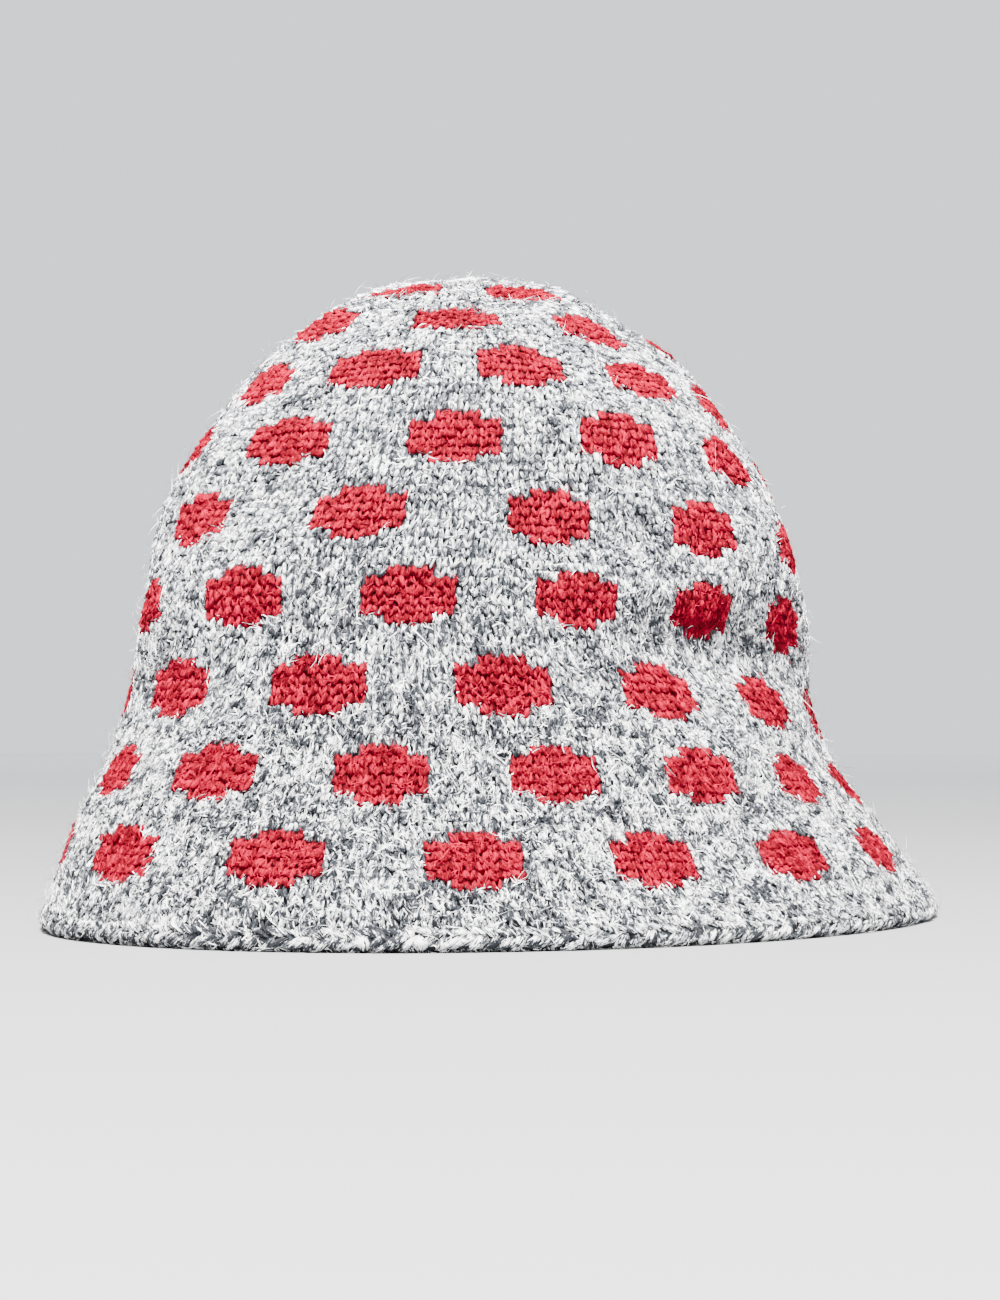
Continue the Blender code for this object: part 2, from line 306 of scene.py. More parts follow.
class Wall:
    """The body's outside, smoothed, as a grid of places by turn and by way up from the rim."""

    TURNS = 240
    LEVELS = 150
    STEP = 0.002  # way from one row of the grid to the next
    SMOOTHINGS = 3
    SLOPE_LEVEL = 3  # level up to which the slope of the foot is measured
    THICKNESS_LEVEL = LEVELS // 3  # level at which the wall's thickness is measured
    TRIES = 200  # places tried for the highest of the crown
    CLEAR = 1.0  # well above the hat
    JUST_OVER = 0.0002
    JUST_INSIDE = 0.0001
    SMALLEST_RING = 0.004  # length round up to which a row is left as it is

    def __init__(self, node):
        mesh = node.data
        mesh.calc_loop_triangles()
        corners = [tri.vertices[:] for tri in mesh.loop_triangles]
        self.tree = BVHTree.FromPolygons([v.co.copy() for v in mesh.vertices], corners)
        low, high = (Vector(corner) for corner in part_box(node.name))
        self.foot = low.z
        self.middle = (low.y + high.y) / 2
        self.reach = 2 * (high - low).length
        self.apex = self.highest(low, high)
        skin = self.cast_skin()
        self.thickness = self.measure_thickness(skin)
        self.lay_grid(self.smooth(skin))

    def highest(self, low, high):
        """The way forward or back at which the crown is highest."""
        tries = np.linspace(low.y, high.y, self.TRIES)
        down = Vector((0, 0, -1))
        hits = [self.tree.ray_cast(Vector((0, y, high.z + self.CLEAR)), down)[0] for y in tries]
        return max((hit.z, y) for hit, y in zip(hits, tries) if hit)[1]

    def cast_skin(self):
        """Where lines from all round and above first meet the outside."""
        skin = np.empty((self.TURNS, self.LEVELS, 3))
        for j in range(self.LEVELS):
            share = j / (self.LEVELS - 1)
            rise = math.radians(90 * share)
            flat = math.cos(rise)
            back = self.middle + (self.apex - self.middle) * share
            aim = Vector((0, back, self.foot + self.JUST_OVER))
            for i in range(self.TURNS):
                turn = 2 * math.pi * i / self.TURNS
                out = Vector((math.sin(turn) * flat, -math.cos(turn) * flat, math.sin(rise)))
                skin[i, j] = self.tree.ray_cast(aim + out * self.reach, -out)[0]
        return skin

    def measure_thickness(self, skin):
        """The wall's thickness at the front, from the outside straight in."""
        outer, normal = self.tree.find_nearest(Vector(skin[0, self.THICKNESS_LEVEL]))[:2]
        inner = self.tree.ray_cast(outer - normal * self.JUST_INSIDE, -normal)[0]
        return (outer - inner).length

    def smooth(self, skin):
        """The skin with its facets evened out, round the hat and up it."""
        for _ in range(self.SMOOTHINGS):
            skin = (np.roll(skin, 1, 0) + 2 * skin + np.roll(skin, -1, 0)) / 4
            inside = (skin[:, :-2] + 2 * skin[:, 1:-1] + skin[:, 2:]) / 4
            skin = np.concatenate((skin[:, :1], inside, skin[:, -1:]), axis=1)
        return skin

    def lay_grid(self, skin):
        """The skin again at even ways up, and round each row at even shares of its length."""
        steps = np.linalg.norm(np.diff(skin, axis=1), axis=2)
        # The wall's foot stands as high above the rim as the edge is tall, along the slope
        climb = skin[:, self.SLOPE_LEVEL] - skin[:, 0]
        slope = climb / np.linalg.norm(climb, axis=1)[:, None]
        start = self.foot / slope[:, 2].mean()
        way = start + np.concatenate((np.zeros((self.TURNS, 1)), np.cumsum(steps, axis=1)), axis=1)
        self.length = way[:, -1].mean()
        count = int((self.length - start) / self.STEP) + 1
        self.rows = np.linspace(start, self.length, count)
        spread = np.clip((self.rows - SPREAD_FROM) / (self.length - SPREAD_FROM), 0, 1)
        spread = spread * spread * (3 - 2 * spread)
        self.grid = np.empty((self.TURNS, count, 3))
        for i in range(self.TURNS):
            wanted = self.rows + (way[i, -1] - self.length) * spread
            for axis in range(3):
                self.grid[i, :, axis] = np.interp(wanted, way[i], skin[i, :, axis])
        self.round = np.array([self.even_row(j) for j in range(count)])
        self.normal = self.face_out()

    def even_row(self, j):
        """Spreads one row's places evenly round it, and gives its length round."""
        ring = np.vstack((self.grid[:, j], self.grid[:1, j]))
        gone = np.concatenate(((0,), np.cumsum(np.linalg.norm(np.diff(ring, axis=0), axis=1))))
        if gone[-1] > self.SMALLEST_RING:
            shares = np.arange(self.TURNS) / self.TURNS
            for axis in range(3):
                self.grid[:, j, axis] = np.interp(shares * gone[-1], gone, ring[:, axis])
        return gone[-1]

    def face_out(self):
        """The direction straight out at each place of the grid, and straight up at the apex."""
        around = np.roll(self.grid, -1, 0) - np.roll(self.grid, 1, 0)
        up = np.gradient(self.grid, axis=1)
        normal = np.cross(around, up)
        normal[:, -2:] = (0, 0, 1)
        return normal / np.linalg.norm(normal, axis=2)[:, :, None]

    def sample(self, table, turn, way):
        """A table of the grid at any places, with straight lines between its own."""
        across = (np.asarray(turn) % 1.0) * self.TURNS
        up = np.interp(way, self.rows, np.arange(len(self.rows)))
        i = np.floor(across).astype(int) % self.TURNS
        j = np.minimum(np.floor(up).astype(int), len(self.rows) - 2)
        a = (across - np.floor(across))[..., None]
        b = (up - j)[..., None]
        k = (i + 1) % self.TURNS
        low = table[i, j] * (1 - a) + table[k, j] * a
        high = table[i, j + 1] * (1 - a) + table[k, j + 1] * a
        return low * (1 - b) + high * b

    def at(self, turn, way, out):
        """Places on the knitting, that far out from the outside."""
        turn, way, out = np.broadcast_arrays(turn, way, out)
        normal = self.sample(self.normal, turn, way)
        normal /= np.linalg.norm(normal, axis=-1)[..., None]
        below = np.minimum(way - self.rows[0], 0.0)[..., None]
        out = out + self.swell(turn, way)
        place = self.sample(self.grid, turn, way) + normal * out[..., None]
        return place + below * (0, 0, 1)

    def swell(self, turn, way):
        """How far the slack wool stands out or dips, fading out at the rim and the apex."""
        total = 0.0
        for times, length, start, depth in SWELLS:
            total = total + depth * np.sin(2 * math.pi * (times * turn + way / length) + start)
        for at, level, long, wide, depth, slant in FOLDS:
            along = (turn - at + 0.5) % 1.0 - 0.5
            across = way - level - slant * along
            total = total - depth * np.exp(-((along / long) ** 2) - (across / wide) ** 2)
        fade = np.clip((way - self.rows[0]) / RIM_FADE, 0, 1)
        fade = fade * np.clip((self.length - way) / APEX_FADE, 0, 1)
        return total * fade

    def around(self, way):
        """The length once round at a way up."""
        return np.interp(way, self.rows, self.round)


wall = Wall(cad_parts["knit_body"])


# Meshes

def way_of(course):
    """The way up from the rim of a course."""
    return FIRST_COURSE_AT + COURSE * course


def bead(sides, rings):
    """A small closed bead, as points and triangles: its sides round, its length along Z."""
    mesh = bmesh.new()
    bmesh.ops.create_uvsphere(mesh, u_segments=sides, v_segments=rings, radius=1.0)
    bmesh.ops.triangulate(mesh, faces=mesh.faces)
    bmesh.ops.recalc_face_normals(mesh, faces=mesh.faces)
    points = np.array([vert.co[:] for vert in mesh.verts])
    corners = np.array([[vert.index for vert in face.verts] for face in mesh.faces])
    mesh.free()
    return points, corners


def even_along(points):
    """How far along its bead each point is, at even steps from ring to ring."""
    return np.arccos(np.clip(-points[:, 2], -1, 1)) / math.pi


def rod_fatness(points, taper):
    """What widens each ring of a bead to make it a rod that tapers only at its ends."""
    least = 1e-6
    ring = np.hypot(points[:, 0], points[:, 1])
    widened = np.where(ring > least, 1 / np.maximum(ring, least), 0.0)
    return widened * np.minimum(ring / taper, 1.0)


def columns(rows, count):
    """The first columns of some rows, each upright beside the points of a bead."""
    return (rows[:, k][:, None] for k in range(count))


def draw(copies, spreads):
    """How far each copy is off in each of some measures, by chance: a column for a measure."""
    return columns(rng.normal(0, 1, (copies, len(spreads))) * spreads, len(spreads))


def own_tones(points, middle, off):
    """Each strand's own tone at all its points: a middle tone, and how far it is off that."""
    return np.clip(middle + off, 0, 1) * np.ones(len(points))


def paint_light_and_shade(back, copies, sides, more):
    """Painted light and shade of each strand: lighter the further each point is towards its back."""
    return np.clip(sides + more * back, 0, 1) * np.ones((copies, 1))


def pattern_starts(copies):
    """Where along the wool's pattern each strand starts."""
    return rng.uniform(0, PATTERN_REACH, (copies, 1))


def lay_pattern(start, along, across, lengths):
    """Where in the wool's pattern each point of a strand lies, along it and across it."""
    return np.stack((start + along * lengths[0], start + across * lengths[1]), axis=-1)


def above_floor(places):
    """Wool that would reach under the surface is pressed flat on it."""
    places[..., 2] = np.maximum(places[..., 2], 0.0)
    return places


def link(name, data):
    """An object in the scene for a mesh, a lamp or a camera."""
    thing = bpy.data.objects.new(name, data)
    bpy.context.scene.collection.objects.link(thing)
    return thing


def join_copies(name, places, corners, material, tone, rise, along):
    """One mesh from many copies of a shape: their places, the shape's corners, and the marks
    that the wool's material reads at each point, the strand's own tone and its painted light and
    shade."""
    copies, points = places.shape[:2]
    faces = (corners[None] + (np.arange(copies) * points)[:, None, None]).reshape(-1, 3)
    mesh = bpy.data.meshes.new(name)
    mesh.vertices.add(copies * points)
    mesh.vertices.foreach_set("co", places.reshape(-1).astype(np.float32))
    mesh.loops.add(faces.size)
    mesh.loops.foreach_set("vertex_index", faces.reshape(-1).astype(np.int32))
    mesh.polygons.add(len(faces))
    mesh.polygons.foreach_set("loop_start", np.arange(0, faces.size, 3, dtype=np.int32))
    mesh.update(calc_edges=True)
    # tone is each strand's own tone; rise is its painted light and shade, low where the wool dips
    for mark, values in (("tone", tone), ("rise", rise)):
        values = np.broadcast_to(values, (copies, points)).reshape(-1)
        mesh.attributes.new(mark, "FLOAT", "POINT").data.foreach_set("value", values.astype(np.float32))
    ends = np.broadcast_to(along, (copies, points, 2)).reshape(-1, 2)[faces.reshape(-1)]
    mesh.uv_layers.new(name="yarn").data.foreach_set("uv", ends.reshape(-1).astype(np.float32))
    mesh.shade_smooth()
    mesh.materials.append(material)
    mesh.validate()
    piece = link(name, mesh)
    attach(piece, "root")
    return piece


def wrap_grid(turns, rows, place_of):
    """A sheet closed round the hat, from the place of each turn and each share across it."""
    mesh = bmesh.new()
    bmesh.ops.create_grid(mesh, x_segments=turns, y_segments=rows, size=0.5)
    flat = np.array([vert.co[:] for vert in mesh.verts]) + 0.5
    for vert, place in zip(mesh.verts, place_of(np.round(flat[:, 0] * turns) / turns, flat[:, 1])):
        vert.co = place
    bmesh.ops.remove_doubles(mesh, verts=mesh.verts, dist=SAME_PLACE)
    bmesh.ops.recalc_face_normals(mesh, faces=mesh.faces)
    return mesh


def make_piece(name, mesh, material):
    """A piece from a finished bmesh."""
    data = bpy.data.meshes.new(name)
    mesh.to_mesh(data)
    mesh.free()
    data.materials.append(material)
    return link(name, data)


# Materials

class Value:
    """A socket of a finish, with sums written as sums."""

    def __init__(self, finish, socket):
        self.finish = finish
        self.socket = socket

    def maths(self, operation, first, second):
        return self.finish.node("ShaderNodeMath", {"operation": operation}, first, second)

    def __add__(self, other):
        return self.maths("ADD", self, other)

    def __radd__(self, other):
        return self.maths("ADD", other, self)

    def __sub__(self, other):
        return self.maths("SUBTRACT", self, other)

    def __rsub__(self, other):
        return self.maths("SUBTRACT", other, self)

    def __mul__(self, other):
        return self.maths("MULTIPLY", self, other)

    def __rmul__(self, other):
        return self.maths("MULTIPLY", other, self)

    def __pow__(self, other):
        return self.maths("POWER", self, other)

    def __rpow__(self, other):
        return self.maths("POWER", other, self)


class Finish:
    """A material under way."""

    def __init__(self, name):
        self.material = bpy.data.materials.new(name)
        self.material.use_nodes = True
        self.tree = self.material.node_tree
        self.shader = self.tree.nodes["Principled BSDF"]

    def node(self, kind, settings, *values, out=0, **named):
        """A node: its settings, then the values or links of its sockets, by order or by name."""
        node = self.tree.nodes.new(kind)
        for key, value in settings.items():
            if key == "stops":
                self.set_stops(node.color_ramp.elements, value)
            else:
                setattr(node, key, value)
        for place, value in [*enumerate(values), *named.items()]:
            self.feed(node.inputs[place], value)
        return Value(self, node.outputs[out])

    def feed(self, socket, value):
        """Links a value to a socket, or sets a plain number or colour on it."""
        if isinstance(value, Value):
            self.tree.links.new(value.socket, socket)
        else:
            socket.default_value = value

    def dress(self, surface):
        """Feeds the shader's own sockets."""
        for name, value in surface.items():
            self.feed(self.shader.inputs[name], value)

    @staticmethod
    def set_stops(elements, stops):
        while len(elements) < len(stops):
            elements.new(0.5)
        for element, (position, colour) in zip(elements, stops):
            element.position = position
            element.color = (*colour, 1.0)

    def noise(self, vector, scale, detail, roughness):
        return self.node("ShaderNodeTexNoise", {"noise_dimensions": "3D"}, Vector=vector, Scale=scale,
                         Detail=detail, Roughness=roughness)


def card(wool, strand, lean, stretch_along, stretch_across, detail, share):
    """One layer of the fine fibres laid along a strand."""
    laid = wool.node("ShaderNodeMapping", {}, Vector=strand, Rotation=(0.0, 0.0, lean),
                     Scale=(stretch_along, stretch_across, 1.0))
    return wool.noise(laid, CARDING_SCALE, detail, CARDING_ROUGHNESS) * share


def make_wool(name, stops, contrast=1.0, shade=0.72, shift=0.0, sheen=0.05):
    """Carded wool: each strand its own tone, flecked along and across, and darker where it dips,
    as painted shade.
    """
    wool = Finish(name)
    place = wool.node("ShaderNodeTexCoord", {}, out="Object")
    strand = wool.node("ShaderNodeUVMap", {"uv_map": "yarn"})
    tone = wool.node("ShaderNodeAttribute", {"attribute_name": "tone"}, out="Fac")
    # rise: the painted light and shade of each point, low where the wool dips
    rise = wool.node("ShaderNodeAttribute", {"attribute_name": "rise"}, out="Fac")
    flecks = wool.noise(place, *FLECKS)
    clouds = wool.noise(place, *CLOUDS)
    laid, crossed = (card(wool, strand, *layer) for layer in CARDING)
    fibres = laid + crossed
    mixed = (tone - 0.5) * TONE_SHOWS + (flecks - 0.5) * FLECKS_SHOW
    mixed = mixed + (clouds - 0.5) * CLOUDS_SHOW + (fibres - 0.5) * FIBRES_SHOW
    heather = mixed * contrast + (HEATHER_MIDDLE + shift)
    colour = wool.node("ShaderNodeValToRGB", {"stops": stops}, heather)
    # Painted light and shade: the colour is darkened where the rise mark is low, by up to the share
    # given as shade
    light = rise ** PAINTED_SHADE_CURVE * shade + (1.0 - shade)
    wool.dress({
        "Base Color": wool.node("ShaderNodeVectorMath", {"operation": "SCALE"}, colour, Scale=light),
        "Normal": wool.node("ShaderNodeBump", {}, Strength=1.0, Distance=BUMP_DEPTH,
                            Height=fibres + flecks * FLECKS_BUMP),
        "Roughness": 0.92,
        "Sheen Weight": sheen,
        "Sheen Roughness": 0.6,
        "Specular IOR Level": 0.06,
    })
    return wool.material


grey_wool = make_wool("heathered_grey_wool", GREY_STOPS)
# The brim's copy is darker and more mottled, the crown's lighter and less mottled; both carry more
# painted shade where their strands dip than the waist's wool
brim_wool = make_wool("heathered_brim_wool", GREY_STOPS, contrast=1.50, shift=-0.07, shade=0.85)
crown_wool = make_wool("heathered_crown_wool", GREY_STOPS, contrast=0.80, shift=0.03, shade=0.92)
loose_wool = make_wool("loose_grey_fibres", GREY_STOPS, contrast=1.5, shift=0.07, shade=0.0)
# The edge's copy is darker and much more mottled, with painted shade almost full where its strands dip
edge_wool = make_wool("heathered_edge_wool", GREY_STOPS, contrast=2.4, shift=-0.25, shade=0.98)
# The red carries less painted shade, and the loose fibres none
red_wool = make_wool("red_wool", RED_STOPS, contrast=1.30, shade=0.44, sheen=0.0)
loose_red_wool = make_wool("loose_red_fibres", RED_STOPS, contrast=1.6, shift=0.04, shade=0.0,
                           sheen=0.0)
# The wool in the knitting's middle and the edge's core, painted darker than the stitches as the shade
# in the gaps between them
under_wool_with_painted_shade = make_wool("grey_wool_with_painted_shade_between_stitches", GREY_STOPS, contrast=0.6, shift=-0.30, shade=0.2)


# The stitches

def plan_courses():
    """Every course of stitches: its band, its number, how many stitches, the turn of stitch 0, its
    repeat, and its line of the chart."""
    plan = []
    last = int((wall.length - FIRST_COURSE_AT) / COURSE)
    ends = [row[1] for row in BANDS[1:]] + [last]
    for (band, first, spots, repeat, turn, spotted), end in zip(BANDS, ends):
        for course in range(first, end):
            count = spots * repeat
            if band == "apex":
                count = max(APEX_FEWEST, int(wall.around(way_of(course + 0.5)) / APEX_STITCH))
            row = course - first - SPOT_STARTS
            chart = SPOT_CHART[::-1][row] if spotted and 0 <= row < len(SPOT_CHART) else ""
            plan.append((band, course, count, turn, repeat, chart))
    return plan


def marked(stitch, repeat, chart):
    """Whether a line of the chart, its middle on stitch 0, marks each of these stitches."""
    marks = np.array([mark == "#" for mark in chart.ljust(repeat, ".")[:repeat]])
    return marks[(stitch + len(SPOT_CHART[0]) // 2) % repeat]


def list_stitches(plan):
    """Each stitch: its course, its turn, its share of a turn, whether it is red, its course's
    place in the plan, and its number in the course."""
    rows = []
    for number, (_, course, count, turn, repeat, chart) in enumerate(plan):
        k = np.arange(count)
        rows.append(np.stack((np.full(count, course), turn + k / count, np.full(count, 1 / count),
                              marked(k, repeat, chart), np.full(count, number), k), axis=1))
    return np.vstack(rows)


courses = plan_courses()
stitches = list_stitches(courses)
band_of = np.array([row[0] for row in courses])[stitches[:, 4].astype(int)]
in_red = stitches[:, 3] > 0.5


def is_red(turn, way):
    """Whether the wool at each place is red."""
    answer = np.zeros(np.shape(turn), bool)
    number = np.floor((way - FIRST_COURSE_AT) / COURSE - COLOUR_FROM)
    for _, course, count, start, repeat, chart in courses:
        if chart:
            here = number == course
            stitch = np.floor((turn[here] - start) * count + 0.5).astype(int)
            answer[here] = marked(stitch, repeat, chart)
    return answer


def leg_places(chosen, side, fuller):
    """The legs of one side of the chosen stitches, every point of them in place."""
    points, corners = bead(sides=4, rings=3)
    copies = len(chosen)
    course, turn, share = columns(chosen, 3)
    t = (np.clip(points[:, 2] * LEG_BLUNT, -1, 1) + 1) / 2
    curve = [(1 - t) ** 2 * foot + 2 * t * (1 - t) * (2 * middle - (foot + head) / 2) + t**2 * head
             for foot, middle, head in zip(LEG_FOOT, LEG_MIDDLE, LEG_HEAD)]
    wider, thicker, aside, leaning, higher, further = draw(copies, LEG_VARIES)
    spin = rng.uniform(0, 2 * math.pi, (copies, 1))
    flat_x = points[:, 0] * np.cos(spin) - points[:, 1] * np.sin(spin)
    flat_y = points[:, 0] * np.sin(spin) + points[:, 1] * np.cos(spin)
    wide = LEG_WIDE * fuller * (1 + wider)
    thick = LEG_THICK * (1 + thicker)
    across = side * (curve[0] + aside + leaning * (t - 0.5)) + flat_x * wide
    out = YARN * (curve[2] + further + flat_y * thick) - WALE_ROUND * (2 * across) ** 2
    places = wall.at(turn + across * share, way_of(course + (curve[1] + higher)), out)
    tone = own_tones(points, LEG_TONE, *draw(copies, (LEG_TONE_VARIES,)))
    # Painted light and shade: lighter on the leg's back and half-way along, darker between columns
    between = np.clip((np.abs(across) - BETWEEN_FROM) / BETWEEN_OVER, 0, 1)
    rise = LEG_LIGHT + LEG_LIGHT_BACK * flat_y + LEG_LIGHT_HALF_WAY * np.sin(math.pi * t)
    rise = np.clip(rise - LEG_PAINTED_SHADE_BETWEEN * between, 0, 1)
    along = lay_pattern(pattern_starts(copies), t, flat_x, LEG_PATTERN)
    return places, corners, tone, rise, along


def knit(name, chosen, material, fuller=1.0):
    """The stitches of one colour and one stretch of the hat."""
    sides = [leg_places(chosen, side, fuller) for side in (1, -1)]
    corners = sides[0][1]
    places, tone, rise, along = (np.concatenate([side[k] for side in sides]) for k in (0, 2, 3, 4))
    piece = join_copies(name, above_floor(places), corners, material, tone, rise, along)


def knit_outside():
    """All the stitches of the outside, in stretches that stay light enough to handle."""
    stretches = [
        ("brim", ("hem", "brim_low", "brim_high"), brim_wool),
        ("waist", ("waist", "band"), grey_wool),
        ("crown", ("crown_low", "crown_mid"), crown_wool),
        ("top", ("crown_high", "crown_round", "crown_top", "apex"), crown_wool),
    ]
    for name, bands, wool in stretches:
        knit(f"grey_stitches_{name}", stitches[np.isin(band_of, bands) & ~in_red], wool)
    upper = stitches[:, 0] >= FIRST_OF["crown_low"]
    for name, here in (("lower", ~upper), ("upper", upper)):
        knit(f"red_stitches_{name}_spots", stitches[in_red & here], red_wool, RED_FULLER)


def fill_spots():
    """Red wool behind the red stitches, so that no grey shows between them."""
    deep, half_thick, half_way, shift = 0.00085, 0.00025, 0.35, 1.7
    # Its low tone and rise paint it darker than the stitches, as the shade in the gaps between them
    tone, rise = np.full((1, 1), 0.35), np.full((1, 1), 0.45)
    points, corners = bead(sides=4, rings=2)
    every_other = (stitches[:, 0] + stitches[:, 5]) % 2 < 0.5
    course, turn, share = columns(stitches[in_red & every_other], 3)
    places = wall.at(turn + points[:, 0] * share, way_of(course + half_way + points[:, 2]),
                     -deep + points[:, 1] * half_thick)
    along = np.stack((course + points[:, 2], course * shift + points[:, 0]), axis=-1)
    piece = join_copies("red_behind_spots", places, corners, red_wool, tone, rise, along)


# The ground between the stitches

def build_ground():
    """The middle of the knitting's thickness, a thin closed sheet that the stitches cover, its grey
    wool painted dark as the shade in the gaps between them.
    """
    deep, thick = 0.0013, 0.0009

    def place_of(turn, share):
        way = wall.rows[0] + (wall.length - wall.rows[0]) * share
        return wall.at(turn, way, -deep)

    mesh = wrap_grid(turns=100, rows=50, place_of=place_of)
    bmesh.ops.solidify(mesh, geom=mesh.faces[:], thickness=thick)
    piece = make_piece("knit_ground", mesh, under_wool_with_painted_shade)
    piece.data.shade_smooth()
    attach(piece, "root")
    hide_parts("knit_body")


# The inside

def purl_places(chosen):
    """The purl bumps of the inside, one across the foot of each stitch."""
    points, corners = bead(sides=4, rings=2)
    copies = len(chosen)
    course, turn, share = columns(chosen, 3)
    aside, taller, higher, further = draw(copies, PURL_VARIES)
    # The bumps of one course lie half a stitch along from those of the next
    odd = course % 2 - 0.5
    across = points[:, 2] * PURL_HALF_LONG + 0.5 * odd + aside
    tall = points[:, 0] * PURL_HALF_TALL * (1 + taller)
    up = 0.5 + tall + PURL_ARCH * (1 - points[:, 2] ** 2) + higher
    depth = wall.thickness - YARN * (PURL_SUNK - PURL_HALF_THICK * points[:, 1] + further)
    places = wall.at(turn + across * share, way_of(course + up), -depth)
    tone = own_tones(points, PURL_TONE, *draw(copies, (PURL_TONE_VARIES,)))
    # Painted light and shade across each bump
    rise = paint_light_and_shade(-points[:, 1], copies, *PURL_LIGHT)
    along = lay_pattern(pattern_starts(copies), points[:, 2], points[:, 0], PURL_PATTERN)
    return places, corners, tone, rise, along


def list_floats():
    """The strands carried behind the other colour, red ones and grey ones: course, first turn,
    last turn, and the middle course of their spots."""
    grey_overlap, red_overlap = 0.6, 0.4
    red, grey = [], []
    for band, course, count, turn, repeat, chart in courses:
        if "#" not in chart:
            continue
        centre = FIRST_OF[band] + SPOT_STARTS + (len(SPOT_CHART) - 1) / 2
        first, last = chart.index("#"), chart.rindex("#")
        middle = len(chart) // 2
        for spot in range(count // repeat):
            at = turn + spot * repeat / count
            left, right = at + (first - middle) / count, at + (last - middle) / count
            grey.append((course, left - grey_overlap / count, right + grey_overlap / count, centre))
            red.append((course, right - red_overlap / count, left + (repeat + red_overlap) / count,
                        centre))
    return np.array(red), np.array(grey)


def strand_places(floats):
    """Strands lying across the inside, a little slack."""
    points, corners = bead(sides=4, rings=7)
    copies = len(floats)
    course, first, last, centre = columns(floats, 4)
    thicker, higher, drooping, slacker = draw(copies, FLOAT_VARIES)
    even = even_along(points)
    fat = rod_fatness(points, taper=0.5)
    size = FLOAT_RADIUS * (1 + thicker)
    turn = first + (last - first) * even
    bow = np.sin(math.pi * even)
    up = 0.5 + higher + (drooping - FLOAT_DROOP) * bow
    up = up + FLOAT_BUNCH * (centre - course) * bow
    way = way_of(course + up) + points[:, 0] * fat * size
    depth = wall.thickness - FLOAT_SUNK + (FLOAT_SAG * (1 + slacker)) * bow
    places = wall.at(turn, way, -(depth + points[:, 1] * fat * size))
    tone = own_tones(points, FLOAT_TONE, *draw(copies, (FLOAT_TONE_VARIES,)))
    # Painted light and shade across each strand
    rise = paint_light_and_shade(-points[:, 1], copies, *FLOAT_LIGHT)
    length = (points[:, 2] + 1) / 2
    along = lay_pattern(pattern_starts(copies), length, points[:, 0], FLOAT_PATTERN)
    return places, corners, tone, rise, along


def line_inside():
    """The purl bumps of both colours, and over them the strands."""
    red_floats, grey_floats = list_floats()
    linings = [
        ("grey_purl_inside", purl_places, stitches[~in_red], grey_wool),
        ("red_purl_inside", purl_places, stitches[in_red], red_wool),
        ("red_floats", strand_places, red_floats, red_wool),
        ("grey_floats", strand_places, grey_floats, grey_wool),
    ]
    for name, places_of, chosen, wool in linings:
        places, corners, tone, rise, along = places_of(chosen)
        piece = join_copies(name, above_floor(places), corners, wool, tone, rise, along)


# The rolled edge and the seam

class Edge:
    """The rolled edge as a tube: places by turn and by angle round it."""

    def __init__(self):
        low, high = (np.array(corner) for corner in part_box("rolled_edge"))
        foot = wall.rows[0]
        turns = np.arange(Wall.TURNS) / Wall.TURNS
        outer = wall.at(turns, foot, 0.0)
        inner = wall.at(turns, foot, -wall.thickness)
        self.path = (outer + inner) / 2
        self.path[:, 2] = (low[2] + high[2]) / 2
        self.out = outer - inner
        self.out[:, 2] = 0
        self.out /= np.linalg.norm(self.out, axis=1)[:, None]
        self.half_wide = high[0] - self.path[:, 0].max()
        self.half_tall = (high[2] - low[2]) / 2

    def at(self, turn, degrees, size):
        """A place on the edge: size 1 is its skin, and 0 its middle."""
        turn, degrees, size = np.broadcast_arrays(turn, degrees, size)
        across = (turn % 1.0) * len(self.path)
        i = np.floor(across).astype(int) % len(self.path)
        k = (i + 1) % len(self.path)
        a = (across - np.floor(across))[..., None]
        middle = self.path[i] * (1 - a) + self.path[k] * a
        out = self.out[i] * (1 - a) + self.out[k] * a
        angle = np.radians(degrees)
        wide = (self.half_wide * size * np.cos(angle))[..., None]
        tall = (self.half_tall * size * np.sin(angle))[..., None]
        return middle + out * wide + np.array((0, 0, 1)) * tall

    def over(self, turn, up, out):
        """A place on the edge's skin, so far up round it from its outermost line, and out from it."""
        degrees = np.degrees(up / self.half_tall)
        return self.at(turn, degrees, 1.0 + out / self.half_wide)


edge = Edge()


def core_edge():
    """The plain core of the edge, under its stitches, painted dark as the shade between them."""
    sides = 10

    def place_of(turn, share):
        return above_floor(edge.at(turn, np.round(share * sides) * 360 / sides, CORE_SIZE))

    mesh = wrap_grid(turns=180, rows=sides, place_of=place_of)
    piece = make_piece("edge_core", mesh, under_wool_with_painted_shade)
    piece.data.shade_smooth()
    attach(piece, "root")
    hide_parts("rolled_edge")


